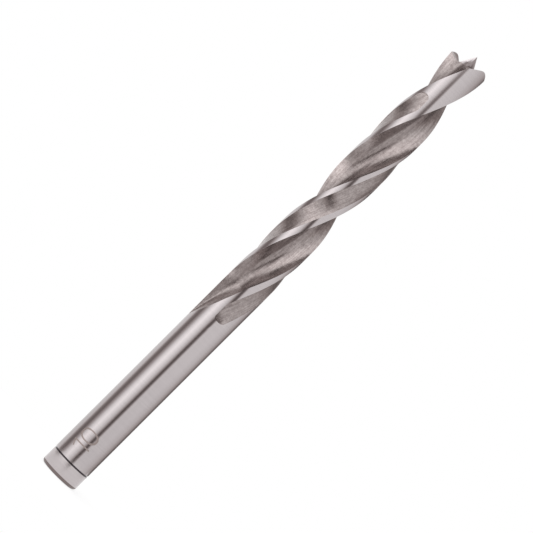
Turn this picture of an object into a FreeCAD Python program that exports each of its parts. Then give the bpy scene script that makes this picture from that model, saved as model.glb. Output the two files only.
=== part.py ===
import FreeCAD, Part
import math
import os
import Sketcher
from FreeCAD import Vector

# A brad point twist bit for wood, ground from one bar of tool steel.
# It stands on its flat shank end, the point upwards, the axis on Z.
# The two lips lie along X. Millimetres and degrees.

os.makedirs("parts", exist_ok=True)
doc = FreeCAD.newDocument("wood_bit")

# Driving dimensions
sheet = doc.addObject("Spreadsheet::Sheet", "Sizes")
sizes = [
    ("cutting_diameter", 10.0),
    ("shank_undersize", 0.06),
    ("overall_length", 133.0),
    ("flute_length", 87.0),
    ("twist_pitch", 72.15),
    ("shank_end_radius", 0.85),
    ("ring_height", 4.3),
    ("ring_width", 0.4),
    ("ring_depth", 0.16),
    ("flute_angle_low", 94.0),
    ("flute_angle_high", 107.0),
    ("web_thickness_low", 2.3),
    ("web_thickness_high", 1.9),
    ("web_corner_radius", 1.9),
    ("rake_offset", 0.12),
    ("heel_lean", 32.0),
    ("runout_length", 12.4),
    ("lead_margin_angle", 16.0),
    ("relief_angle", 50.5),
    ("margin_step", 0.1),
    ("relief_depth", 0.29),
    ("relief_start", 14.75),
    ("relief_length", 69.05),
    ("wheel_length", 4.2),
    ("spike_height", 3.5),
    ("spike_half_angle", 21.8),
    ("spike_tip_width", 0.06),
    ("point_turn", 38.0),
    ("point_tilt", 10.0),
    ("lip_below_tip", 3.62),
    ("spur_below_tip", 2.0),
    ("spur_straight", 0.7),
    ("valley_below_tip", 4.0),
    ("valley_distance", 2.2),
    ("valley_inner_radius", 1.0),
]
for row, (alias, value) in enumerate(sizes, start=1):
    sheet.set("A%d" % row, alias)
    sheet.set("B%d" % row, str(value))
    sheet.setAlias("B%d" % row, alias)
doc.recompute()


def size(alias):
    return float(sheet.get(alias))


def polar(radius, degrees, height=0.0):
    turn = math.radians(degrees)
    return Vector(radius * math.cos(turn), radius * math.sin(turn), height)


def plane(body, role):
    for item in body.Origin.OriginFeatures:
        if item.Role == role:
            return item


def sketch_on(body, role, name, offset=None):
    made = body.newObject("Sketcher::SketchObject", name)
    made.AttachmentSupport = [(plane(body, role), "")]
    made.MapMode = "FlatFace"
    if offset is not None:
        made.AttachmentOffset = offset
    return made


# Draws a closed outline and ties each end to the start of the next line or arc
def draw_closed(sketch, lines):
    sketch.addGeometry(lines, False)
    for here in range(len(lines)):
        there = (here + 1) % len(lines)
        ends = [(a, b) for a in (1, 2) for b in (1, 2)]
        nearest = min(
            ends,
            key=lambda pair: (sketch.getPoint(here, pair[0]) - sketch.getPoint(there, pair[1])).Length,
        )
        sketch.addConstraint(Sketcher.Constraint("Coincident", here, nearest[0], there, nearest[1]))


cut_radius = size("cutting_diameter") / 2
shank_radius = (size("cutting_diameter") - size("shank_undersize")) / 2
total = size("overall_length")
pitch = size("twist_pitch")
flute_end = total - size("flute_length")
rim_top = total - size("spur_below_tip") + 0.4
spike_base = total - size("spike_height")
lip_height = total - size("lip_below_tip")
turn_per_mm = 360.0 / pitch


# Angle of the leading edge of the first land at a height
def lead_angle(height):
    return (height - lip_height) * turn_per_mm


bit = doc.addObject("PartDesign::Body", "DrillBit")
bit.Label = "drill_bit"

# Blank
blank = sketch_on(bit, "XZ_Plane", "BlankProfile")
rounding = size("shank_end_radius")
ring_low = size("ring_height") - size("ring_width") / 2
ring_high = size("ring_height") + size("ring_width") / 2
ring_radius = shank_radius - size("ring_depth")
corner = Vector(shank_radius - rounding, rounding, 0)
diag = rounding * math.sqrt(0.5)
outline = [
    Part.LineSegment(Vector(0, 0, 0), Vector(shank_radius - rounding, 0, 0)),
    Part.Arc(
        Vector(shank_radius - rounding, 0, 0),
        corner + Vector(diag, -diag, 0),
        Vector(shank_radius, rounding, 0),
    ),
]
# Ground with a slight back taper up to a short straight length at the spurs
straight_from = total - size("spur_below_tip") - size("spur_straight")
walk = [
    Vector(shank_radius, rounding, 0),
    Vector(shank_radius, ring_low, 0),
    Vector(ring_radius, ring_low + size("ring_depth") / 2, 0),
    Vector(ring_radius, ring_high - size("ring_depth") / 2, 0),
    Vector(shank_radius, ring_high, 0),
    Vector(shank_radius, flute_end, 0),
    Vector(cut_radius, straight_from, 0),
    Vector(cut_radius, rim_top, 0),
    Vector(0, rim_top, 0),
    Vector(0, 0, 0),
]
for start, stop in zip(walk[:-1], walk[1:]):
    outline.append(Part.LineSegment(start, stop))
draw_closed(blank, outline)
doc.recompute()
bar = bit.newObject("PartDesign::Revolution", "Bar")
bar.Profile = blank
bar.ReferenceAxis = (blank, ["V_Axis"])
bar.Angle = 360
blank.Visibility = False
doc.recompute()

# Room around the spike
room = sketch_on(bit, "XY_Plane", "SpikeRoom", FreeCAD.Placement(Vector(0, 0, spike_base), FreeCAD.Rotation()))
room.addGeometry(Part.Circle(Vector(0, 0, 0), Vector(0, 0, 1), cut_radius * 0.6), False)
doc.recompute()
clearing = bit.newObject("PartDesign::Pocket", "SpikeClearing")
clearing.Profile = room
clearing.Type = "Length"
clearing.Length = size("spike_height") + 1
clearing.Reversed = True
doc.recompute()

# Four sided spike
tip_half = size("spike_tip_width") / 2
base_half = tip_half + size("spike_height") * math.tan(math.radians(size("spike_half_angle")))
squares = []
for name, height, half in (
    ("SpikeFoot", spike_base, base_half),
    ("SpikeTip", total, tip_half),
):
    spin = FreeCAD.Rotation(Vector(0, 0, 1), -size("point_turn"))
    square = sketch_on(bit, "XY_Plane", name, FreeCAD.Placement(Vector(0, 0, height), spin))
    marks = [Vector(half, -half, 0), Vector(half, half, 0), Vector(-half, half, 0), Vector(-half, -half, 0)]
    draw_closed(square, [Part.LineSegment(marks[i], marks[(i + 1) % 4]) for i in range(4)])
    squares.append(square)
doc.recompute()
spike = bit.newObject("PartDesign::AdditiveLoft", "Spike")
spike.Profile = squares[0]
spike.Sections = [squares[1]]
spike.Ruled = True
doc.recompute()

# Valley and spur profile, ground across each half of the point
# The section is seen along the cut; its zero is the tip of the spike.
valley_low = -size("valley_below_tip")
valley_at = size("valley_distance")
spur_high = -size("spur_below_tip")
inner = size("valley_inner_radius")
wall_at = valley_at - inner
ground = [
    Vector(wall_at - 0.12, 3, 0),
    Vector(wall_at, valley_low + inner * 1.3, 0),
    Vector(valley_at, valley_low, 0),
    Vector(cut_radius, spur_high, 0),
]
rise = ground[3].y - ground[2].y
reach = ground[3].x - ground[2].x
mid = Vector(ground[2].x + reach * 0.62, ground[2].y + rise * 0.27, 0)
half_mid = Vector(wall_at + inner * 0.24, valley_low + inner * 0.42, 0)
# The outer curve runs on a little past the rim, so that the spur ends clean
outer = Part.Circle(ground[2], mid, ground[3])
centre = outer.Center
last_angle = math.degrees(math.atan2(ground[3].y - centre.y, ground[3].x - centre.x))
past_rim = centre + polar(outer.Radius, last_angle + 8)
over = past_rim + Vector(1.5, 2.5, 0)
facing = FreeCAD.Rotation(Vector(0, 0, 1), -size("point_turn"))
leaning = FreeCAD.Rotation(Vector(1, 0, 0), size("point_tilt"))
upright = FreeCAD.Rotation(Vector(1, 0, 0), 90)
section = sketch_on(bit, "XY_Plane", "PointProfile")
section.AttachmentOffset = FreeCAD.Placement(Vector(0, 0, total), facing * leaning * upright)
draw_closed(
    section,
    [
        Part.LineSegment(ground[0], ground[1]),
        Part.Arc(ground[1], half_mid, ground[2]),
        Part.Arc(ground[2], mid, past_rim),
        Part.LineSegment(past_rim, over),
        Part.LineSegment(over, Vector(over.x, 3, 0)),
        Part.LineSegment(Vector(over.x, 3, 0), ground[0]),
    ],
)
doc.recompute()
valley = bit.newObject("PartDesign::Pocket", "Valley")
valley.Profile = section
valley.Type = "Length"
valley.Length = 24
valley.Midplane = True
doc.recompute()
both_valleys = bit.newObject("PartDesign::PolarPattern", "BothValleys")
both_valleys.Originals = [valley]
both_valleys.Axis = (plane(bit, "Z_Axis"), [""])
both_valleys.Angle = 360
both_valleys.Occurrences = 2
bit.Tip = both_valleys
doc.recompute()

# Cross-section of a flute with its rake wall on X: rake, web corner, heel wall
# The flute is a little narrower and the web thicker towards the shank.
web_corner = size("web_corner_radius")
rake_at = size("rake_offset")
far = cut_radius + 2.2


def flute_lines(opening, web):
    rise_y = rake_at + web_corner
    centre = Vector(math.sqrt((web / 2 + web_corner) ** 2 - rise_y ** 2), rise_y, 0)
    lean = size("heel_lean") + 0.6 * (opening - size("flute_angle_low"))
    heel_start = centre + polar(web_corner, 180 + lean)
    rim_mark = polar(cut_radius + 0.02, opening)
    chord = rim_mark - heel_start
    bend = 90 + lean - math.degrees(math.atan2(chord.y, chord.x))
    heel_radius = chord.Length / (2 * math.sin(math.radians(bend)))
    heel_centre = heel_start + polar(heel_radius, lean)
    heel_mid = heel_centre + polar(heel_radius, 180 + lean - bend)
    reach = math.degrees(1.6 / heel_radius)
    heel_stop = heel_centre + polar(heel_radius, 180 + lean - 2 * bend - reach)
    return [
        Part.LineSegment(Vector(far, rake_at, 0), Vector(centre.x, rake_at, 0)),
        Part.Arc(
            Vector(centre.x, rake_at, 0),
            centre + polar(web_corner, 225 + lean / 2),
            heel_start,
        ),
        Part.Arc(heel_start, heel_mid, heel_stop),
        Part.LineSegment(heel_stop, Vector(far, heel_stop.y, 0)),
        Part.LineSegment(Vector(far, heel_stop.y, 0), Vector(far, rake_at, 0)),
    ]


# Runout, where the wheel lifts out: the rake wall stays parallel to the axis,
# the heel edge keeps to its helix and the floor rises to the surface
def lifted(curve, share, rise):
    first = curve.FirstParameter
    last = curve.LastParameter
    marks = []
    for step in range(7):
        spot = curve.value(first + (last - first) * step / 6.0)
        angle = math.degrees(math.atan2(spot.y, spot.x)) * share
        marks.append(polar(math.hypot(spot.x, spot.y) + rise, angle))
    spline = Part.BSplineCurve()
    spline.interpolate(marks)
    return spline


above = total + 3
runout_start = flute_end + size("runout_length")
flute_sections = []


def flute_section(height, lines, angle):
    place = FreeCAD.Placement(Vector(0, 0, height), FreeCAD.Rotation(Vector(0, 0, 1), angle))
    made = sketch_on(bit, "XY_Plane", "FluteSection%d" % len(flute_sections), place)
    draw_closed(made, lines)
    flute_sections.append(made)


flute_section(above, flute_lines(size("flute_angle_high"), size("web_thickness_high")), lead_angle(above))
low_lines = flute_lines(size("flute_angle_low"), size("web_thickness_low"))
flute_section(runout_start, low_lines, lead_angle(runout_start))
spine = sketch_on(bit, "XZ_Plane", "FluteLine")
spine.addGeometry(Part.LineSegment(Vector(0, above, 0), Vector(0, runout_start, 0)), False)
twist = doc.addObject("Part::Helix", "Twist")
twist.setExpression("Pitch", "Sizes.twist_pitch")
twist.Height = above - runout_start
twist.Radius = 4 * cut_radius
twist.Placement = FreeCAD.Placement(Vector(0, 0, runout_start), FreeCAD.Rotation())
doc.recompute()
flute = bit.newObject("PartDesign::SubtractivePipe", "Flute")
flute.Profile = flute_sections[0]
flute.Sections = [flute_sections[1]]
flute.Transformation = "Multisection"
flute.Spine = (spine, ["Edge1"])
flute.AuxiliarySpine = (twist, ["Edge1"])
flute.Mode = "Auxiliary"
doc.recompute()

full_depth = cut_radius - size("web_thickness_low") / 2
flute_section(runout_start, low_lines, lead_angle(runout_start))
for along in (0.16, 0.32, 0.48, 0.64, 0.78, 0.9, 1.0):
    height = runout_start - along * size("runout_length")
    swept = along * size("runout_length") * turn_per_mm
    share = (1 - swept / size("flute_angle_low")) * (1 - 0.6 * along ** 10)
    rise = (full_depth + 0.05) * along ** 2
    flute_section(height, [lifted(g, share, rise) for g in low_lines], lead_angle(runout_start))
doc.recompute()
runout = bit.newObject("PartDesign::SubtractiveLoft", "Runout")
runout.Profile = flute_sections[2]
runout.Sections = flute_sections[3:]
doc.recompute()
both_flutes = bit.newObject("PartDesign::PolarPattern", "BothFlutes")
both_flutes.Originals = [flute, runout]
both_flutes.Axis = (plane(bit, "Z_Axis"), [""])
both_flutes.Angle = 360
both_flutes.Occurrences = 2
bit.Tip = both_flutes
doc.recompute()

# Relief ground between the two margins of each land
relief_top = total - size("relief_start")
relief_low = relief_top - size("relief_length")
relief_angle = size("relief_angle")
wheel_angle = relief_angle - size("wheel_length") * turn_per_mm


def relief_tool(number, turn):
    tool = doc.addObject("PartDesign::Body", "ReliefTool%d" % number)
    lead_side = turn - size("lead_margin_angle")
    heel_side = lead_side - relief_angle
    middle = (lead_side + heel_side) / 2
    edge = cut_radius - size("margin_step")
    outside = cut_radius + 1
    face = sketch_on(
        tool,
        "XY_Plane",
        "ReliefSection%d" % number,
        FreeCAD.Placement(Vector(0, 0, relief_top), FreeCAD.Rotation(Vector(0, 0, 1), lead_angle(relief_top))),
    )
    draw_closed(
        face,
        [
            Part.Arc(
                polar(edge, heel_side),
                polar(cut_radius - size("relief_depth"), middle),
                polar(edge, lead_side),
            ),
            Part.LineSegment(polar(edge, lead_side), polar(outside, lead_side)),
            Part.Arc(polar(outside, lead_side), polar(outside, middle), polar(outside, heel_side)),
            Part.LineSegment(polar(outside, heel_side), polar(edge, heel_side)),
        ],
    )
    path = sketch_on(tool, "XZ_Plane", "ReliefLine%d" % number)
    path.addGeometry(Part.LineSegment(Vector(0, relief_top, 0), Vector(0, relief_low, 0)), False)
    guide = doc.addObject("Part::Helix", "ReliefTwist%d" % number)
    guide.setExpression("Pitch", "Sizes.twist_pitch")
    guide.Height = relief_top - relief_low
    guide.Radius = 4 * cut_radius
    guide.Placement = FreeCAD.Placement(Vector(0, 0, relief_low), FreeCAD.Rotation())
    doc.recompute()
    band = tool.newObject("PartDesign::AdditivePipe", "ReliefBand%d" % number)
    band.Profile = face
    band.Spine = (path, ["Edge1"])
    band.AuxiliarySpine = (guide, ["Edge1"])
    band.Mode = "Auxiliary"
    doc.recompute()
    # The side of the wheel leaves a straight edge along the axis at each end
    wide = cut_radius + 3
    for name, height, angle, side in (
        ("Upper", relief_top, lead_angle(relief_top) + heel_side + wheel_angle, 1),
        ("Lower", relief_low, lead_angle(relief_low) + lead_side - wheel_angle, -1),
    ):
        base = height + 1 if side > 0 else height - 1
        corner = sketch_on(
            tool,
            "XY_Plane",
            "%sCorner%d" % (name, number),
            FreeCAD.Placement(Vector(0, 0, base), FreeCAD.Rotation(Vector(0, 0, 1), angle)),
        )
        marks = [Vector(0, 0, 0), Vector(wide, 0, 0), Vector(wide, side * wide, 0), Vector(0, side * wide, 0)]
        draw_closed(corner, [Part.LineSegment(marks[i], marks[(i + 1) % 4]) for i in range(4)])
        doc.recompute()
        trim = tool.newObject("PartDesign::Pocket", "%sTrim%d" % (name, number))
        trim.Profile = corner
        trim.Type = "Length"
        trim.Length = size("wheel_length") + 1
        trim.Reversed = side < 0
        doc.recompute()
    return tool


tools = [relief_tool(1, 0), relief_tool(2, 180)]
relief = bit.newObject("PartDesign::Boolean", "Relief")
relief.Type = "Cut"
relief.setObjects(tools)
bit.Tip = relief
doc.recompute()

# Every object has to be sound before the part is written
for item in doc.Objects:
    if "Invalid" in item.State or "Error" in item.State:
        raise RuntimeError("unsound object: " + item.Name)
for body in [bit] + tools:
    if body.Shape.isNull() or not body.Shape.isValid():
        raise RuntimeError("bad shape: " + body.Name)
if len(bit.Shape.Solids) != 1:
    raise RuntimeError("the bit must be one solid")
flutes_cut = both_valleys.Shape.Volume - both_flutes.Shape.Volume
if abs(flutes_cut / (both_valleys.Shape.Volume - runout.Shape.Volume) - 2) > 0.1:
    raise RuntimeError("the two flutes must take away the same")
if relief.Shape.Volume > both_flutes.Shape.Volume - 1:
    raise RuntimeError("the relief must cut")
bit.Shape.exportStep("parts/drill_bit.step")
print("drill_bit", round(bit.Shape.Volume, 2), "cubic millimetres,", len(bit.Shape.Faces), "faces")
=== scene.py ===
import math

import bmesh
import bpy
import numpy as np
from mathutils import Euler, Matrix, Vector


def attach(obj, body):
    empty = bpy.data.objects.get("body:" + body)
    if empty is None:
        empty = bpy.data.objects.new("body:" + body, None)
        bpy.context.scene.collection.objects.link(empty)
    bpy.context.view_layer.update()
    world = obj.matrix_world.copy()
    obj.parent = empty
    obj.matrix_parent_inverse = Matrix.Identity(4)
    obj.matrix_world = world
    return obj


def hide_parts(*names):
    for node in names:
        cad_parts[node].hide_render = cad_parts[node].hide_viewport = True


# Wood bit: the twisted body is rolled up from a flat sheet by a node tree,
# then the point is ground with a few tool shapes. Metres, axis on Z.

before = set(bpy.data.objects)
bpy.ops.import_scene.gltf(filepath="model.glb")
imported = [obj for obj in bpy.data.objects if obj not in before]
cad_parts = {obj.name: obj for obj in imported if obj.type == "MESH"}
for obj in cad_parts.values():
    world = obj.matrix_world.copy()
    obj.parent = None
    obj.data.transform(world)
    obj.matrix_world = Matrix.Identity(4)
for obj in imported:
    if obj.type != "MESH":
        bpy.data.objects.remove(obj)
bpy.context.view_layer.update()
mm = 0.001


# One output socket that can be used in sums
class Field:
    def __init__(self, graph, socket):
        self.graph = graph
        self.socket = socket

    def __add__(self, other):
        return self.graph.math("ADD", self, other)

    def __radd__(self, other):
        return self.graph.math("ADD", other, self)

    def __sub__(self, other):
        return self.graph.math("SUBTRACT", self, other)

    def __rsub__(self, other):
        return self.graph.math("SUBTRACT", other, self)

    def __mul__(self, other):
        return self.graph.math("MULTIPLY", self, other)

    def __rmul__(self, other):
        return self.graph.math("MULTIPLY", other, self)

    def __truediv__(self, other):
        return self.graph.math("DIVIDE", self, other)

    def __rtruediv__(self, other):
        return self.graph.math("DIVIDE", other, self)

    def __pow__(self, other):
        return self.graph.math("POWER", self, other)

    def __neg__(self):
        return self.graph.math("MULTIPLY", self, -1.0)

    def out(self, name):
        return Field(self.graph, self.socket.node.outputs[name])


# A node tree and what is added to it
class Graph:
    def __init__(self, tree):
        self.tree = tree
        tree.nodes.clear()

    # A node by its type: settings first, then the values or links of its sockets
    def node(self, kind, settings=None, sockets=None, output=0):
        made = self.tree.nodes.new(kind)
        for name, value in (settings or {}).items():
            if name == "stops":
                ramp = made.color_ramp
                while len(ramp.elements) > 1:
                    ramp.elements.remove(ramp.elements[-1])
                for at, (place, shade) in enumerate(value):
                    stop = ramp.elements[0] if at == 0 else ramp.elements.new(place)
                    stop.position = place
                    stop.color = (*shade, 1.0)
            else:
                setattr(made, name, value)
        for name, value in (sockets or {}).items():
            self.feed(made.inputs[name], value)
        return Field(self, made.outputs[output]) if len(made.outputs) else None

    def feed(self, socket, value):
        if isinstance(value, Field):
            self.tree.links.new(value.socket, socket)
        elif isinstance(value, list):
            for one in value:
                self.tree.links.new(one.socket, socket)
        else:
            socket.default_value = value

    def math(self, operation, *values, clamp=False):
        return self.node(
            "ShaderNodeMath",
            {"operation": operation, "use_clamp": clamp},
            dict(enumerate(values)),
        )

    def low(self, a, b):
        return self.math("MINIMUM", a, b)

    def high(self, a, b):
        return self.math("MAXIMUM", a, b)

    def clamped(self, value):
        return self.math("ADD", value, 0.0, clamp=True)

    # 0 below the start, 1 above the stop, smooth between them
    def step(self, value, start, stop):
        return self.node(
            "ShaderNodeMapRange",
            {"interpolation_type": "SMOOTHSTEP"},
            {"Value": value, "From Min": start, "From Max": stop},
        )

    def blend(self, amount, a, b):
        return a + (b - a) * amount

    def colour(self, amount, a, b, mode="MIX"):
        return self.node(
            "ShaderNodeMix",
            {"data_type": "RGBA", "blend_type": mode},
            {0: amount, 6: a, 7: b},
            2,
        )

    def vector(self, operation, *values):
        return self.node("ShaderNodeVectorMath", {"operation": operation}, dict(enumerate(values)))

    # The three parts of a vector
    def split(self, value):
        parts = self.node("ShaderNodeSeparateXYZ", {}, {0: value})
        return parts, parts.out("Y"), parts.out("Z")

    def joined(self, x, y, z):
        return self.node("ShaderNodeCombineXYZ", {}, {"X": x, "Y": y, "Z": z})


def placed(name, data):
    made = bpy.data.objects.new(name, data)
    bpy.context.scene.collection.objects.link(made)
    return made


def newMaterial(name):
    material = bpy.data.materials.new(name)
    material.use_nodes = True
    return material, Graph(material.node_tree)


# Millimetres and degrees; heights count from the end of the shank
bitSizes = {
    "length": 133.0,
    "cutRadius": 5.0,
    "shankRadius": 4.97,
    "endRounding": 0.85,
    "ringHeight": 4.3,
    "ringWidth": 0.4,
    "ringDepth": 0.16,
    "fluteEnd": 46.0,
    "runoutLength": 12.4,
    "runoutBlend": 3.0,
    "runoutFlare": 3.0,  # how far the heel edge bows out at the middle
    "runoutRise": 0.92,  # share of the floor's rise that is even
    "runoutEarly": 0.5,  # the rest of it takes this share of the runout
    "runoutClose": 0.6,  # how far the heel edge closes in, only at the very end
    "closePower": 10,
    "pitch": 72.15,
    "openingLow": 94.0,  # a flute's angle where its runout starts
    "openingHigh": 107.0,  # and its angle above the tip
    "openingPastTip": 3.0,
    "webLow": 2.3,
    "webHigh": 1.9,
    "webCorner": 2.6,
    "rakeOffset": 0.12,
    "heelLean": 32.0,
    "leanPerOpening": 0.6,
    "leadMargin": 16.0,
    "reliefAngle": 50.5,
    "marginStep": 0.1,
    "reliefDepth": 0.47,
    "reliefLow": 49.2,
    "reliefTop": 118.25,
    "reliefFade": 12.0,
    "wheelLength": 4.2,
    "cornerLow": 0.75,
    "cornerTop": 1.2,
    "lipBelowTip": 3.62,
    "spikeHeight": 3.5,
    "spikeAngle": 21.8,
    "spikeTip": 0.06,
    "roomShare": 0.6,  # radius of the room around the spike, as a share of the bit's
    "pointTurn": 38.0,
    "pointTilt": 10.0,
    "spurBelowTip": 2.0,
    "spurStraight": 0.7,
    "valleyBelowTip": 4.0,
    "valleyDistance": 2.2,
    "valleyRadius": 1.0,
    "sharpAngle": 24.0,  # edges past this stay sharp
    "weld": 0.0008,
}


def onCircle(radius, degrees):
    turn = math.radians(degrees)
    return np.array([radius * math.cos(turn), radius * math.sin(turn)])


def held(share):
    return min(1.0, max(0.0, share))


# One flute across the axis, from its heel edge to its cutting edge, rake wall on X
def fluteAcross(opening, web):
    b = bitSizes
    corner = b["webCorner"]
    rise = b["rakeOffset"] + corner
    centre = np.array([math.sqrt((web / 2 + corner) ** 2 - rise ** 2), rise])
    lean = b["heelLean"] + b["leanPerOpening"] * (opening - b["openingLow"])
    heelStart = centre + onCircle(corner, 180 + lean)
    rimMark = onCircle(b["cutRadius"] + 0.02, opening)  # just outside the rim
    chord = rimMark - heelStart
    bend = 90 + lean - math.degrees(math.atan2(chord[1], chord[0]))
    heelRadius = np.hypot(*chord) / (2 * math.sin(math.radians(bend)))
    heelCentre = heelStart + onCircle(heelRadius, lean)
    heelRun, rakeRun = 1.35, 2.0  # both walls run on past the rim and are cut there
    points = []
    for share in np.linspace(heelRun, 0, 200, endpoint=False):
        points.append(heelCentre + onCircle(heelRadius, 180 + lean - 2 * bend * share))
    for share in np.linspace(0, 1, 80, endpoint=False):
        points.append(centre + onCircle(corner, 180 + lean + (90 - lean) * share))
    for share in np.linspace(0, 1, 80):
        across = centre[0] + (b["cutRadius"] + rakeRun - centre[0]) * share
        points.append(np.array([across, b["rakeOffset"]]))
    return np.array(points)


# Height from which the blank is straight, below the spurs
def spurFoot():
    return bitSizes["length"] - bitSizes["spurBelowTip"] - bitSizes["spurStraight"]


# Radius of the blank at a height: a slight back taper, then straight at the spurs
def rimAt(height):
    b = bitSizes
    share = held((height - b["fluteEnd"]) / (spurFoot() - b["fluteEnd"]))
    return b["shankRadius"] + (b["cutRadius"] - b["shankRadius"]) * share


# The flute's outline at a height. In the runout the wheel lifts out: the rake edge
# runs parallel to the axis, the heel edge stays on the helix and the floor rises.
def fluteAt(height, shares):
    b = bitSizes
    rim = rimAt(height)
    runoutStart = b["fluteEnd"] + b["runoutLength"]
    lift = held((height - runoutStart) / (b["length"] + b["openingPastTip"] - runoutStart))
    low = fluteAcross(b["openingLow"], b["webLow"])
    high = fluteAcross(b["openingHigh"], b["webHigh"])
    points = low + (high - low) * lift
    radii = np.hypot(points[:, 0], points[:, 1])
    angles = np.degrees(np.arctan2(points[:, 1], points[:, 0]))
    inside = np.nonzero(radii < rim)[0]
    first, last = inside[0], inside[-1]
    for outer, inner in ((first - 1, first), (last + 1, last)):
        share = (radii[outer] - rim) / (radii[outer] - radii[inner])
        angles[outer] += (angles[inner] - angles[outer]) * share
        radii[outer] = rim
    radii = radii[first - 1 : last + 2]
    angles = angles[first - 1 : last + 2]
    along = held((runoutStart - height) / b["runoutLength"])
    near = max(0.0, 1 - abs(height - runoutStart) / b["runoutBlend"])
    swept = (max(height, runoutStart) + near ** 2 * b["runoutBlend"] / 4 - height) * 360 / b["pitch"]
    if swept > 0:
        opening = b["openingLow"] + (b["openingHigh"] - b["openingLow"]) * lift
        rakeEdge = math.degrees(math.asin(b["rakeOffset"] / rim))
        heelEdge = opening + b["runoutFlare"] * 4 * along * (1 - along) - swept
        heelEdge *= 1 - b["runoutClose"] * along ** b["closePower"]
        angles = rakeEdge + (angles - angles[-1]) * (heelEdge - rakeEdge) / (angles[0] - angles[-1])
        # Most of the floor's rise is even, the rest comes early
        even = b["runoutRise"]
        early = held(along / b["runoutEarly"])
        early = early * early * (3 - 2 * early)
        radii = rim - (rim - radii) * (1 - even * along - (1 - even) * early)
    turned = np.radians(angles)
    points = np.stack([radii * np.cos(turned), radii * np.sin(turned)], 1)
    steps = np.hypot(*np.diff(points, axis=0).T)
    walked = np.concatenate([[0], np.cumsum(steps)])
    wanted = np.array(shares) * walked[-1]
    return np.stack([np.interp(wanted, walked, points[:, 0]), np.interp(wanted, walked, points[:, 1])], 1)


# The flat sheet, in millimetres: rows up the bit, and columns that run once over
# half its outline, along the leading margin, the relief, the heel margin and the flute
sheetSizes = {
    "columns": (17, 33, 19, 81),
    "columnGap": 0.1,
    "shankStep": 2.0,
    "runoutStep": 0.15,
    "bodyStep": 0.45,
    "spurStep": 0.3,
    "cornerStep": 0.07,
    "clear": 0.04,  # least distance of other rows from an end of the relief
    "pastTip": 0.3,
}


# A row is its height, the blank's radius, and 1 where the relief is ground
def flatSheet():
    b, s = bitSizes, sheetSizes
    columns = []
    for part, count in enumerate(s["columns"]):
        for share in np.linspace(0, 1, count):
            columns.append((part, share))
    fluteShares = [share for part, share in columns if part == 3]
    shank = b["shankRadius"]
    rounding = b["endRounding"]
    ringLow = b["ringHeight"] - b["ringWidth"] / 2
    ringHigh = b["ringHeight"] + b["ringWidth"] / 2
    slope = b["ringDepth"] / 2
    # The end face, its rounded edge, the ring groove and the rest of the shank
    rows = [(0, 0, 0), (0, shank - rounding - 0.6, 0), (0, shank - rounding, 0)]
    for degrees in np.linspace(9, 90, 10):
        turn = math.radians(degrees)
        height = rounding - rounding * math.cos(turn)
        rows.append((height, shank - rounding + rounding * math.sin(turn), 0))
    for height in np.linspace(1.3, ringLow - 0.1, 4):
        rows.append((height, shank, 0))
    for height, radius in (
        (ringLow, shank),
        (ringLow + slope, shank - b["ringDepth"]),
        (ringHigh - slope, shank - b["ringDepth"]),
        (ringHigh, shank),
    ):
        rows.append((height, radius, 0))
    for height in np.arange(ringHigh + 0.3, b["fluteEnd"] - 0.3, s["shankStep"]):
        rows.append((height, shank, 0))

    ends = (b["reliefLow"], b["reliefTop"])
    heights = list(np.arange(b["fluteEnd"], b["fluteEnd"] + b["runoutLength"] + 1, s["runoutStep"]))
    heights += list(np.arange(heights[-1] + 0.4, spurFoot() - 0.2, s["bodyStep"]))
    heights += list(np.arange(spurFoot(), b["length"] + 0.2, s["spurStep"]))
    heights += list(np.arange(ends[0] + 0.03, ends[0] + b["cornerLow"], s["cornerStep"]))
    heights += list(np.arange(ends[1] - b["cornerTop"], ends[1], s["cornerStep"]))
    heights = [h for h in heights if min(abs(h - end) for end in ends) > s["clear"]]
    for height in heights:
        rows.append((height, rimAt(height), 1 if ends[0] < height < ends[1] else 0))
    for height in ends:
        rows.append((height, rimAt(height), 0))
        rows.append((height, rimAt(height), 1))
    last = b["length"] + s["pastTip"]
    rows.append((last, rimAt(last), 0))
    # Two rows share a height at each end of the relief, the plain one outside
    middle = sum(ends) / 2
    rows.sort(key=lambda r: (r[0], r[2] if r[0] < middle else -r[2]))
    rows.append((last, 0, 0))
    wide = len(columns)
    tall = len(rows)
    mesh = bpy.data.meshes.new("bit_sheet")
    places = [(c * s["columnGap"] * mm, r[0] * mm, 0) for r in rows for c in range(wide)]
    faces = []
    for r in range(tall - 1):
        for c in range(wide - 1):
            at = r * wide + c
            faces.append((at, at + wide, at + wide + 1, at + 1))
    mesh.from_pydata(places, [], faces)
    table = {
        "part": [c[0] for r in rows for c in columns],
        "share": [c[1] for r in rows for c in columns],
        "height": [r[0] * mm for r in rows for c in columns],
        "rim": [r[1] * mm for r in rows for c in columns],
        "relieved": [r[2] for r in rows for c in columns],
    }
    for name, values in table.items():
        mesh.attributes.new(name, "FLOAT", "POINT").data.foreach_set("value", np.array(values, np.float32))
    flat = np.zeros((tall, wide, 3), np.float32)
    for at, row in enumerate(rows):
        flat[at, wide - len(fluteShares) :, :2] = fluteAt(max(row[0], b["fluteEnd"]), fluteShares) * mm
    mesh.attributes.new("flute", "FLOAT_VECTOR", "POINT").data.foreach_set("vector", flat.ravel())
    print("sheet", wide, "columns", tall, "rows")
    return mesh


def newTree(name, inputs):
    tree = bpy.data.node_groups.new(name, "GeometryNodeTree")
    graph = Graph(tree)
    tree.interface.new_socket("Geometry", in_out="INPUT", socket_type="NodeSocketGeometry")
    tree.interface.new_socket("Geometry", in_out="OUTPUT", socket_type="NodeSocketGeometry")
    names = {}
    for label, kind in inputs.items():
        made = tree.interface.new_socket(label, in_out="INPUT", socket_type=kind)
        names[label] = made.identifier
    start = graph.node("NodeGroupInput")
    return tree, graph, start, names


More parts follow.
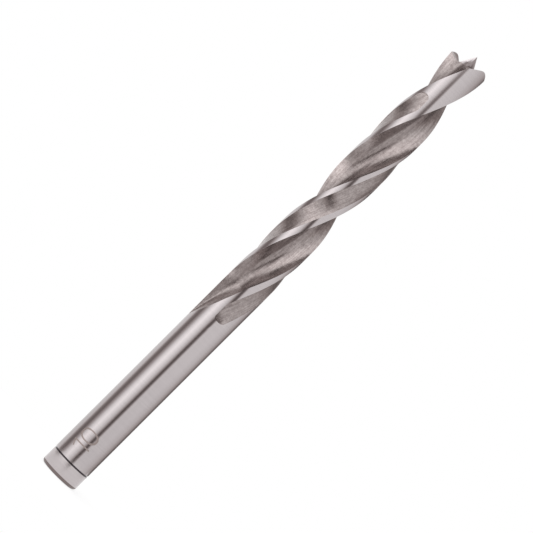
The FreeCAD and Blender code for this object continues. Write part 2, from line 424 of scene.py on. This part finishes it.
def moved(graph, geometry, place, degrees=0.0):
    return graph.node(
        "GeometryNodeTransform",
        {},
        {"Geometry": geometry, "Translation": place, "Rotation": Euler((0, 0, math.radians(degrees)))},
    )


def welded(graph, geometry, distance):
    sockets = {"Geometry": geometry, "Distance": distance * mm}
    return graph.node("GeometryNodeMergeByDistance", {}, sockets)


def ground(graph, whole, tool):
    return graph.node(
        "GeometryNodeMeshBoolean",
        {"operation": "DIFFERENCE", "solver": "EXACT"},
        {"Mesh 1": whole, "Mesh 2": [tool]},
    )


# Prism tool that grinds one valley of the point. Its outline is drawn from the tip,
# X outwards and Y up, in millimetres and degrees; middles are shares.
valleySizes = {
    "top": 3.0,
    "wallLean": 0.12,
    "innerRise": 1.3,
    "innerMiddle": (0.24, 0.42),
    "outerMiddle": (0.62, 0.27),
    "pastRim": 8.0,
    "clear": (1.5, 2.5),
    "length": 24.0,
    "weld": 0.002,
}


def valleyTool(graph):
    b, v = bitSizes, valleySizes
    inner = b["valleyRadius"]
    wallAt = b["valleyDistance"] - inner
    low = -b["valleyBelowTip"]
    wallTop = Vector((wallAt - v["wallLean"], v["top"]))
    wallFoot = Vector((wallAt, low + inner * v["innerRise"]))
    bottom = Vector((b["valleyDistance"], low))
    spur = Vector((b["cutRadius"], -b["spurBelowTip"]))
    innerMiddle = Vector((wallAt + inner * v["innerMiddle"][0], low + inner * v["innerMiddle"][1]))
    reach = spur - bottom
    outerMiddle = bottom + Vector((reach.x * v["outerMiddle"][0], reach.y * v["outerMiddle"][1]))
    # Centre of the outer curve, so that it can run on past the rim
    (ax, ay), (bx, by), (cx, cy) = bottom, outerMiddle, spur
    aa, bb, cc = ax ** 2 + ay ** 2, bx ** 2 + by ** 2, cx ** 2 + cy ** 2
    d = 2 * (ax * (by - cy) + bx * (cy - ay) + cx * (ay - by))
    ux = (aa * (by - cy) + bb * (cy - ay) + cc * (ay - by)) / d
    uy = (aa * (cx - bx) + bb * (ax - cx) + cc * (bx - ax)) / d
    centre = Vector((ux, uy))
    outward = spur - centre
    last = math.atan2(outward.y, outward.x) + math.radians(v["pastRim"])
    pastRim = centre + outward.length * Vector((math.cos(last), math.sin(last)))
    over = pastRim + Vector(v["clear"])
    far = Vector((over.x, v["top"]))

    def flat(place):
        return (place.x * mm, place.y * mm, 0.0)

    pieces = []
    for resolution, first, middle, end in (
        (14, wallFoot, innerMiddle, bottom),
        (28, bottom, outerMiddle, pastRim),
    ):
        sockets = {"Resolution": resolution, "Start": flat(first), "Middle": flat(middle), "End": flat(end)}
        pieces.append(graph.node("GeometryNodeCurveArc", {"mode": "POINTS"}, sockets))
    for first, end in ((wallTop, wallFoot), (pastRim, over), (over, far), (far, wallTop)):
        sockets = {"Start": flat(first), "End": flat(end)}
        pieces.append(graph.node("GeometryNodeCurvePrimitiveLine", {}, sockets))
    wires = [graph.node("GeometryNodeCurveToMesh", {}, {"Curve": piece}) for piece in pieces]
    wire = welded(graph, graph.node("GeometryNodeJoinGeometry", {}, {0: wires}), v["weld"])
    loop = graph.node("GeometryNodeMeshToCurve", {}, {0: wire})
    filled = graph.node("GeometryNodeFillCurve", {}, {0: loop})
    lowered = moved(graph, filled, (0, 0, -v["length"] * mm / 2))
    raised = graph.node(
        "GeometryNodeExtrudeMesh",
        {"mode": "FACES"},
        {"Mesh": lowered, "Offset": (0, 0, 1), "Offset Scale": v["length"] * mm, "Individual": False},
    )
    under = graph.node("GeometryNodeFlipFaces", {}, {0: lowered})
    prism = welded(graph, graph.node("GeometryNodeJoinGeometry", {}, {0: [raised, under]}), v["weld"])
    turned = (
        Matrix.Rotation(math.radians(-b["pointTurn"]), 4, "Z")
        @ Matrix.Rotation(math.radians(b["pointTilt"]), 4, "X")
        @ Matrix.Rotation(math.radians(90), 4, "X")
    )
    return graph.node(
        "GeometryNodeTransform",
        {},
        {"Geometry": prism, "Translation": (0, 0, b["length"] * mm), "Rotation": turned.to_euler()},
    )


# What is ground away around the spike: a room around it, and all above the spurs
def spikeRoom(graph):
    b = bitSizes
    base = b["length"] - b["spikeHeight"]
    rimTop = b["length"] - b["spurBelowTip"] + 0.4  # just above the spurs
    tipHalf = b["spikeTip"] / 2
    footHalf = tipHalf + b["spikeHeight"] * math.tan(math.radians(b["spikeAngle"]))
    slope = (footHalf - tipHalf) / b["spikeHeight"]
    extra = 0.4  # the spike runs on below the room's floor

    def drum(sides, radius, height, foot):
        made = graph.node(
            "GeometryNodeMeshCylinder",
            {"fill_type": "NGON"},
            {"Vertices": sides, "Radius": radius * mm, "Depth": height * mm},
        )
        return moved(graph, made, (0, 0, (foot + height / 2) * mm))

    around = drum(72, b["cutRadius"] * b["roomShare"], 6, base)  # higher than the tip
    over = drum(48, 7, 4, rimTop)  # wider than the bit
    room = graph.node(
        "GeometryNodeMeshBoolean",
        {"operation": "UNION", "solver": "EXACT"},
        {"Mesh 2": [around, over]},
    )
    spike = graph.node(
        "GeometryNodeMeshCone",
        {"fill_type": "NGON"},
        {
            "Vertices": 4,
            "Radius Top": tipHalf * math.sqrt(2) * mm,
            "Radius Bottom": (footHalf + slope * extra) * math.sqrt(2) * mm,
            "Depth": (b["spikeHeight"] + extra) * mm,
        },
    )
    spike = moved(graph, spike, (0, 0, (base - extra) * mm), 45 - b["pointTurn"])
    return ground(graph, room, spike)


# The tree that rolls the sheet up into the bit and grinds its point
def twistTree():
    b = bitSizes
    lengths = {
        "Pitch": "pitch",
        "Length": "length",
        "Flute End": "fluteEnd",
        "Runout Length": "runoutLength",
        "Runout Blend": "runoutBlend",
        "Relief Low": "reliefLow",
        "Relief Top": "reliefTop",
        "Wheel Length": "wheelLength",
        "Corner Low": "cornerLow",
        "Corner Top": "cornerTop",
        "Cut Radius": "cutRadius",
        "Margin Step": "marginStep",
        "Relief Depth": "reliefDepth",
        "Lip Below Tip": "lipBelowTip",
    }
    angles = {
        "Opening Low": "openingLow",
        "Opening High": "openingHigh",
        "Lead Margin": "leadMargin",
        "Relief Angle": "reliefAngle",
        "Runout Flare": "runoutFlare",
    }
    kinds = {label: "NodeSocketFloat" for label in [*lengths, *angles]}
    kinds["Steel"] = "NodeSocketMaterial"
    tree, g, start, names = newTree("twist_bit", kinds)
    value = {label: start.out(label) for label in kinds}

    def attribute(name, kind="FLOAT"):
        return g.node("GeometryNodeInputNamedAttribute", {"data_type": kind}, {"Name": name})

    part = attribute("part")
    share = attribute("share")
    height = attribute("height")
    rim = attribute("rim")
    relieved = attribute("relieved")
    perLength = 2 * math.pi / value["Pitch"]
    lip = value["Length"] - value["Lip Below Tip"]
    runoutStart = value["Flute End"] + value["Runout Length"]
    near = g.clamped(1 - g.math("ABSOLUTE", height - runoutStart) / value["Runout Blend"])
    leadHeight = g.high(height, runoutStart) + near ** 2 * value["Runout Blend"] / 4
    leadFixed = (leadHeight - lip) * perLength
    leadHelix = (g.high(height, value["Flute End"]) - lip) * perLength
    along = g.clamped((runoutStart - height) / value["Runout Length"])
    swept = (leadHeight - g.high(height, value["Flute End"])) * perLength
    lift = g.clamped((height - runoutStart) / (value["Length"] + b["openingPastTip"] * mm - runoutStart))
    opening = g.blend(lift, value["Opening Low"], value["Opening High"])
    flare = value["Runout Flare"] * 4 * along * (1 - along)
    heelEdge = (opening + flare - swept) * (1 - b["runoutClose"] * along ** b["closePower"])
    # Edges of the relief: the wheel's side leaves a line along the axis at each end,
    # and above it the columns go back to the margin's edge
    wheel = value["Wheel Length"]
    upper = g.low(g.high(height - (value["Relief Top"] - wheel), 0.0), wheel)
    back = 1 - g.clamped((height - value["Relief Top"]) / (b["reliefFade"] * mm))
    lower = g.low(g.high(value["Relief Low"] + wheel - height, 0.0), wheel)

    def corner(reach, size):
        reach = g.low(g.high(reach + size, 0.0), size)
        return (size - g.math("SQRT", g.high(size ** 2 - reach ** 2, 0.0))) / value["Cut Radius"]

    rounded = corner(value["Relief Low"] - height, value["Corner Low"])
    rounded = rounded + corner(height - value["Relief Top"], value["Corner Top"]) * back
    leadSide = value["Lead Margin"] + perLength * upper * back + rounded
    heelSide = value["Lead Margin"] + value["Relief Angle"] - perLength * lower - rounded
    edgeAngle = b["rakeOffset"] / b["cutRadius"]
    first = leadFixed + edgeAngle
    second = leadHelix - leadSide
    third = leadHelix - heelSide
    fourth = leadFixed - math.pi + heelEdge

    def isPart(number):
        return g.math("COMPARE", part, float(number), 0.1)

    landAngle = (
        isPart(0) * g.blend(share, first, second)
        + isPart(1) * g.blend(share, second, third)
        + isPart(2) * g.blend(share, third, fourth)
    )
    # The relief is an arc through its two edges and its deepest point
    edgeRadius = value["Cut Radius"] - value["Margin Step"]
    deepRadius = value["Cut Radius"] - value["Relief Depth"]
    half = value["Relief Angle"] / 2
    edgeX = edgeRadius * g.math("COSINE", half)
    offset = (edgeRadius ** 2 - deepRadius ** 2) / (2 * (edgeX - deepRadius))
    arcRadius = deepRadius - offset
    beta = landAngle - (leadHelix - value["Lead Margin"] - half)
    sideways = offset * g.math("SINE", beta)
    reliefRadius = offset * g.math("COSINE", beta) + g.math("SQRT", arcRadius ** 2 - sideways ** 2)
    onRelief = isPart(1) * relieved
    landRadius = g.blend(onRelief, rim, g.low(reliefRadius, rim))
    # Flute walls
    fluteX, fluteY, _ = g.split(attribute("flute", "FLOAT_VECTOR"))
    fluteRadius = g.low(g.math("SQRT", fluteX ** 2 + fluteY ** 2), rim)
    fluteAngle = leadFixed - math.pi + g.math("ARCTAN2", fluteY, fluteX)
    onFlute = isPart(3)
    radius = g.blend(onFlute, landRadius, fluteRadius)
    angle = g.blend(onFlute, landAngle, fluteAngle)
    place = g.joined(radius * g.math("COSINE", angle), radius * g.math("SINE", angle), height)
    half = g.node("GeometryNodeSetPosition", {}, {"Geometry": start.out("Geometry"), "Position": place})
    other = moved(g, half, (0, 0, 0), 180)
    whole = g.node("GeometryNodeJoinGeometry", {}, {0: [half, other]})
    whole = welded(g, whole, b["weld"])
    valley = valleyTool(g)
    for tool in (spikeRoom(g), valley, moved(g, valley, (0, 0, 0), 180)):
        whole = ground(g, whole, tool)
    whole = g.node("GeometryNodeSetShadeSmooth", {"domain": "FACE"}, {0: whole, "Shade Smooth": True})
    bend = g.node("GeometryNodeInputMeshEdgeAngle")
    limit = math.radians(b["sharpAngle"])
    sharp = g.node("FunctionNodeCompare", {"operation": "GREATER_THAN"}, {0: bend, 1: limit})
    whole = g.node(
        "GeometryNodeSetShadeSmooth",
        {"domain": "EDGE"},
        {0: whole, "Selection": sharp, "Shade Smooth": False},
    )
    whole = g.node("GeometryNodeRealizeInstances", {}, {0: whole})
    whole = g.node("GeometryNodeSetMaterial", {}, {0: whole, "Material": value["Steel"]})
    g.node("NodeGroupOutput", {}, {0: whole})
    given = {names[label]: b[key] * mm for label, key in lengths.items()}
    given.update({names[label]: math.radians(b[key]) for label, key in angles.items()})
    return tree, given, names["Steel"]


# Size of the bit burnt into the shank, in strokes: one stem with a flag and one ring.
# Heights along the bit, and across it to the left, in millimetres.
markSizes = {
    "facing": -94.9,  # degrees around the bit
    "stroke": 0.17,
    "softness": 0.25,
    "stem": ((8.95, -2.15), (8.95, 2.15)),
    "flag": ((8.95, 2.15), (7.65, 1.35)),
    "ring": (11.4, 0.0),
    "ringHalf": (1.32, 2.1),
    "ringPower": 2.3,
    "ringSpread": 1.05,
}


def laserMark(g, angle, z):
    m = markSizes
    up = (math.radians(m["facing"]) - angle) * bitSizes["shankRadius"]
    along = z / mm

    def burnt(off):
        return 1 - g.step(off, m["stroke"] * (1 - m["softness"]), m["stroke"] * (1 + m["softness"]))

    def stroke(first, last):
        span = Vector(last) - Vector(first)
        x, y = along - first[0], up - first[1]
        share = g.clamped((x * span.x + y * span.y) / span.length_squared)
        return burnt(g.math("SQRT", (x - share * span.x) ** 2 + (y - share * span.y) ** 2))

    wide, tall = m["ringHalf"]
    across = (g.math("ABSOLUTE", along - m["ring"][0]) / wide) ** m["ringPower"]
    upward = (g.math("ABSOLUTE", up - m["ring"][1]) / tall) ** m["ringPower"]
    off = g.math("ABSOLUTE", (across + upward) ** (1 / m["ringPower"]) - 1) * (wide * m["ringSpread"])
    return g.high(burnt(off), g.high(stroke(*m["stem"]), stroke(*m["flag"])))


# Places are in millimetres, and a pair is where a soft edge starts and stops
steelFinish = {
    "polishedBelowRim": (-0.03, -0.022),
    "flutedBelowRim": (-0.42, -0.32),
    # where the painted shade at the bottom of the flutes fades out
    "webShadeWithin": (0.6, 2.0),
    "spikeBelowTip": (3.4, 3.3),
    "spikeWithin": (1.9, 2.0),
    "shankBelowFlute": 0.5,
    "ringReach": (0.14, 0.2),
    # the rounded end of the shank, painted darker as painted shade and made rougher
    "endBelow": (0.74, 0.88),
    "groundDark": (0.228, 0.191, 0.186, 1),
    "groundLight": (0.432, 0.381, 0.372, 1),
    "polishedDark": (0.485, 0.445, 0.45, 1),
    "polishedLight": (0.565, 0.52, 0.525, 1),
    # painted shade at the bottom of the flutes, multiplied in
    "webPaintedShade": (0.8, 0.78, 0.78, 1),
    "ringColour": (0.07, 0.06, 0.066, 1),
    # painted shade on the rounded end, where it faces down
    "endShadeColour": (0.215, 0.175, 0.17, 1),
    "markColour": (0.33, 0.27, 0.25, 1),
    "markStrength": 0.85,
    "linesAround": 0.4,  # scales of the noises, per radian or per metre
    "linesUp": 7000.0,
    "streaksAcross": 3400.0,
    "streaksUp": 170.0,
    "grain": 5200.0,
    "clouds": 1300.0,
    "grainTone": 1.4,  # how much each noise changes the colour
    "streakTone": 1.9,
    "cloudTone": 1.5,
    "lineTone": 1.6,
    "groundRough": 0.11,
    "toneRough": 0.05,
    "fluteRough": 0.08,
    "polishedRough": 0.12,
    "lineRough": 0.08,
    "markRough": 0.5,
    "endRough": 0.36,
    "groundMetal": 0.9,
    "bumpStrength": 0.4,
    "bumpDepth": 0.014,
    "grainBump": 0.6,
    "streakBump": 0.8,
    "lineBump": 0.12,
}


def toolSteel():
    b, s = bitSizes, steelFinish
    material, g = newMaterial("ground_tool_steel")
    coordinates = g.node("ShaderNodeTexCoord").out("Object")
    x, y, z = g.split(coordinates)
    radius = g.math("SQRT", x ** 2 + y ** 2)
    angle = g.math("ARCTAN2", y, x)
    taper = g.clamped((z - b["fluteEnd"] * mm) / ((spurFoot() - b["fluteEnd"]) * mm))
    rim = b["shankRadius"] * mm + taper * (b["cutRadius"] - b["shankRadius"]) * mm
    fromRim = radius - rim

    def past(value, start, stop):
        return g.step(value, start * mm, stop * mm)

    def noise(place, scale, detail, roughness=0.5):
        sockets = {"Vector": place, "Scale": scale, "Detail": detail, "Roughness": roughness}
        return g.node("ShaderNodeTexNoise", {}, sockets)

    # Where each finish lies, and where shade is painted
    shank = 1 - past(z, b["fluteEnd"] - s["shankBelowFlute"], b["fluteEnd"])
    near, away = s["ringReach"]
    ring = past(z, b["ringHeight"] - away, b["ringHeight"] - near)
    ring = ring * (1 - past(z, b["ringHeight"] + near, b["ringHeight"] + away))
    # The rounded end: painted shade where it faces down, and a rougher surface
    rounding = 1 - past(z, *s["endBelow"])
    spike = past(z, *(b["length"] - below for below in s["spikeBelowTip"]))
    spike = spike * (1 - past(radius, *s["spikeWithin"]))
    polished = g.high(g.high(past(fromRim, *s["polishedBelowRim"]), shank), spike)
    # Painted shade: darker near the axis, in the bottom of the flutes
    web = 1 - past(radius, *s["webShadeWithin"])
    fluted = 1 - past(fromRim, *s["flutedBelowRim"])
    mark = laserMark(g, angle, z) * shank
    # Fine lines around the bit where it was ground between centres
    lines = noise(g.joined(angle * s["linesAround"], z * s["linesUp"], 0.0), 1.0, 3.0, 0.6)
    # Streaks of the grinding wheel along the helix, in a frame that turns with it
    turned = z * (-2 * math.pi / (b["pitch"] * mm))
    cosine, sine = g.math("COSINE", turned), g.math("SINE", turned)
    sideways = (x * cosine - y * sine) * s["streaksAcross"]
    outwards = (x * sine + y * cosine) * s["streaksAcross"]
    streaks = noise(g.joined(sideways, outwards, z * s["streaksUp"]), 1.0, 4.0, 0.62)
    grain = noise(coordinates, s["grain"], 3.0, 0.7)
    clouds = noise(coordinates, s["clouds"], 4.0)
    tone = 0.5 + (grain - 0.5) * s["grainTone"] + (streaks - 0.5) * s["streakTone"]
    tone = g.clamped(tone + (clouds - 0.5) * s["cloudTone"])
    lined = g.clamped(0.5 + (lines - 0.5) * s["lineTone"])
    groundColour = g.colour(tone, s["groundDark"], s["groundLight"])
    # Painted shade in the bottom of the flutes
    groundColour = g.colour(web, groundColour, s["webPaintedShade"], "MULTIPLY")
    colour = g.colour(polished, groundColour, g.colour(lined, s["polishedDark"], s["polishedLight"]))
    colour = g.colour(ring, colour, s["ringColour"])
    # Painted shade on the rounded end of the shank
    colour = g.colour(rounding, colour, s["endShadeColour"])
    colour = g.colour(mark * s["markStrength"], colour, s["markColour"])
    groundRough = s["groundRough"] + tone * s["toneRough"] + fluted * s["fluteRough"]
    rough = g.blend(polished, groundRough, s["polishedRough"] + (lines - 0.5) * s["lineRough"])
    rough = g.high(rough, g.high(mark * s["markRough"], rounding * s["endRough"]))
    groundBump = grain * s["grainBump"] + streaks * s["streakBump"]
    height = g.blend(polished, groundBump, lines * s["lineBump"])
    bump = g.node(
        "ShaderNodeBump",
        {},
        {"Strength": s["bumpStrength"], "Distance": s["bumpDepth"] * mm, "Height": height},
    )
    metal = g.blend(polished, s["groundMetal"], 1.0)
    shader = g.node(
        "ShaderNodeBsdfPrincipled",
        {},
        {"Base Color": colour, "Metallic": metal, "Roughness": rough, "Normal": bump},
    )
    g.node("ShaderNodeOutputMaterial", {}, {"Surface": shader})
    return material


def makeBit():
    source = placed("bit_source", flatSheet())
    tree, given, steelName = twistTree()
    modifier = source.modifiers.new("twist", "NODES")
    modifier.node_group = tree
    for name, value in given.items():
        modifier[name] = value
    modifier[steelName] = toolSteel()
    bpy.context.view_layer.update()
    graph = bpy.context.evaluated_depsgraph_get()
    mesh = bpy.data.meshes.new_from_object(source.evaluated_get(graph))
    source.modifiers.clear()
    bpy.data.objects.remove(source)
    for name in ("part", "share", "height", "rim", "relieved", "flute"):
        kept = mesh.attributes.get(name)
        if kept is not None:
            mesh.attributes.remove(kept)
    mesh.name = "twist_bit"
    bit = placed("twist_bit", mesh)
    mesh.calc_loop_triangles()
    print("bit", len(mesh.vertices), "vertices", len(mesh.loop_triangles), "triangles")
    return bit


bit = makeBit()
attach(bit, "root")
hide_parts("drill_bit")
print("bit made")


studio = {
    "cameraDistance": 0.450,
    "cameraHeight": 0.044,
    "aimHeight": 0.0658,
    "cameraPolar": -81.6,
    "roll": 45.09,
    "pixelsPerMm": 4.4573,
    "frame": 533,
    "shift": (-0.3, 0.3),  # pixels
    "sensor": 36,
    "floorHalf": 0.045,  # metal sees the sheet, and past its edge the tent
    "floorColour": (0.9, 0.9, 0.9, 1),
    "floorGlow": 1.06,
    "floorSeen": 0.75,
    "tentRadius": 4.0,
    "overFrom": (8, 21),  # degrees up at which one band gives way to the next
    "highFrom": (27, 36),
    "underFrom": (9, 26),  # degrees down
    "capFrom": (46, 62),  # both ways
    "capLevel": 0.95,
    "sunkFade": 0.016,
    "gapTint": (1.15, 0.97, 0.93, 1),
    "gapReach": 1.1,
    # Brightness of the tent by degrees to the right of the camera, in four bands:
    # level with the bit, under it, over it and high over it
    "level": [
        (-180, 0.97),
        (-118, 0.97),
        (-101, 0.32),
        (-92, 0.24),
        (-84, 0.24),
        (-71, 0.6),
        (-56, 1.25),
        (-41, 1.58),
        (-28, 1.3),
        (-12, 0.9),
        (-4, 0.42),
        (1, 0.14),
        (9, 0.14),
        (18, 1.0),
        (70, 1.0),
        (100, 0.86),
        (128, 0.5),
        (146, 0.16),
        (168, 0.2),
        (180, 0.97),
    ],
    "under": [
        (-180, 1.1),
        (-110, 1.0),
        (-60, 1.4),
        (-25, 2.1),
        (-6, 1.95),
        (4, 1.3),
        (12, 0.85),
        (24, 0.65),
        (45, 0.75),
        (75, 1.2),
        (105, 1.5),
        (140, 1.4),
        (180, 1.1),
    ],
    "over": [
        (-180, 1.1),
        (-150, 0.3),
        (-112, 0.42),
        (-92, 0.78),
        (-68, 1.6),
        (-35, 1.75),
        (-5, 1.6),
        (15, 1.2),
        (50, 0.85),
        (80, 0.28),
        (100, 0.1),
        (125, 0.15),
        (150, 0.4),
        (180, 1.1),
    ],
    "high": [
        (-180, 1.6),
        (-110, 1.7),
        (-40, 1.75),
        (0, 1.6),
        (30, 1.1),
        (60, 0.7),
        (80, 0.4),
        (110, 0.6),
        (135, 0.7),
        (180, 1.6),
    ],
}


# Small white sheet under the bit
def makeFloor():
    s = studio
    half = s["floorHalf"]
    mesh = bpy.data.meshes.new("floor")
    corners = [(-half, -half, 0), (half, -half, 0), (half, half, 0), (-half, half, 0)]
    mesh.from_pydata(corners, [], [(0, 1, 2, 3)])
    floor = placed("floor", mesh)
    material, g = newMaterial("pale_floor")
    ray = g.node("ShaderNodeLightPath")
    seen = g.clamped(ray.out("Is Camera Ray") + ray.out("Is Glossy Ray") + ray.out("Is Transmission Ray"))
    pale = g.node("ShaderNodeBsdfDiffuse", {}, {"Color": s["floorColour"]})
    glow = g.node("ShaderNodeEmission", {}, {"Color": (1, 1, 1, 1), "Strength": s["floorGlow"]})
    mixed = g.node("ShaderNodeMixShader", {}, {0: seen * s["floorSeen"], 1: pale, 2: glow})
    g.node("ShaderNodeOutputMaterial", {}, {"Surface": mixed})
    mesh.materials.append(material)


# Soft light tent around everything, hidden from the camera: white panels and dark
# gaps between them, in four bands of height
def makeTent():
    s = studio
    mesh = bpy.data.meshes.new("tent")
    shell = bmesh.new()
    bmesh.ops.create_uvsphere(shell, u_segments=64, v_segments=32, radius=s["tentRadius"])
    shell.to_mesh(mesh)
    shell.free()
    tent = placed("tent", mesh)
    material, g = newMaterial("tent_panels")
    place = g.node("ShaderNodeTexCoord").out("Object")
    place = g.vector("SUBTRACT", place, (0, 0, s["aimHeight"]))
    x, y, z = g.split(g.vector("NORMALIZE", place))
    turn = math.radians(s["cameraPolar"])
    ahead = x * math.cos(turn) + y * math.sin(turn)
    side = y * math.cos(turn) - x * math.sin(turn)
    around = g.math("ARCTAN2", side, ahead) / (2 * math.pi) + 0.5
    lean = g.math("ARCSINE", z) * (180 / math.pi)
    brightest = 3.0  # a stop of a ramp is a share of this

    def panels(name):
        stops = [((degrees + 180) / 360, (level / brightest,) * 3) for degrees, level in s[name]]
        return g.node("ShaderNodeValToRGB", {"stops": stops}, {0: around}) * brightest

    level = panels("level") * (1 + g.low(lean, 0) * s["sunkFade"])
    level = g.blend(g.step(lean, *s["overFrom"]), level, panels("over"))
    level = g.blend(g.step(lean, *s["highFrom"]), level, panels("high"))
    level = g.blend(g.step(-lean, *s["underFrom"]), level, panels("under"))
    level = g.blend(g.step(g.math("ABSOLUTE", lean), *s["capFrom"]), level, s["capLevel"])
    shade = g.colour(g.clamped(1 - level * s["gapReach"]), (1, 1, 1, 1), s["gapTint"])
    shade = g.node("ShaderNodeVectorMath", {"operation": "SCALE"}, {0: shade, "Scale": level})
    glow = g.node("ShaderNodeEmission", {}, {"Color": shade, "Strength": 1.0})
    g.node("ShaderNodeOutputMaterial", {}, {"Surface": glow})
    mesh.materials.append(material)
    tent.visible_camera = False


def makeWorld():
    world = bpy.data.worlds.new("white")
    bpy.context.scene.world = world
    world.use_nodes = True
    g = Graph(world.node_tree)
    back = g.node("ShaderNodeBackground", {}, {"Color": (1, 1, 1, 1), "Strength": 1.0})
    g.node("ShaderNodeOutputWorld", {}, {"Surface": back})


def makeCamera():
    s = studio
    turn = math.radians(s["cameraPolar"])
    away = s["cameraDistance"]
    camera = bpy.data.cameras.new("camera")
    holder = placed("camera", camera)
    holder.location = (away * math.cos(turn), away * math.sin(turn), s["cameraHeight"])
    aim = Vector((0, 0, s["aimHeight"])) - holder.location
    upright = aim.to_track_quat("-Z", "Y").to_matrix()
    holder.rotation_euler = (upright @ Matrix.Rotation(math.radians(s["roll"]), 3, "Z")).to_euler()
    focal = s["pixelsPerMm"] * 1000 * aim.length
    camera.sensor_width = s["sensor"]
    camera.lens = s["sensor"] * focal / s["frame"]
    camera.shift_x = s["shift"][0] / s["frame"]
    camera.shift_y = s["shift"][1] / s["frame"]
    camera.clip_start = 0.01
    camera.clip_end = 20
    bpy.context.scene.camera = holder


makeFloor()
makeTent()
makeWorld()
makeCamera()
bpy.context.scene.view_settings.view_transform = "Standard"
print("studio made")
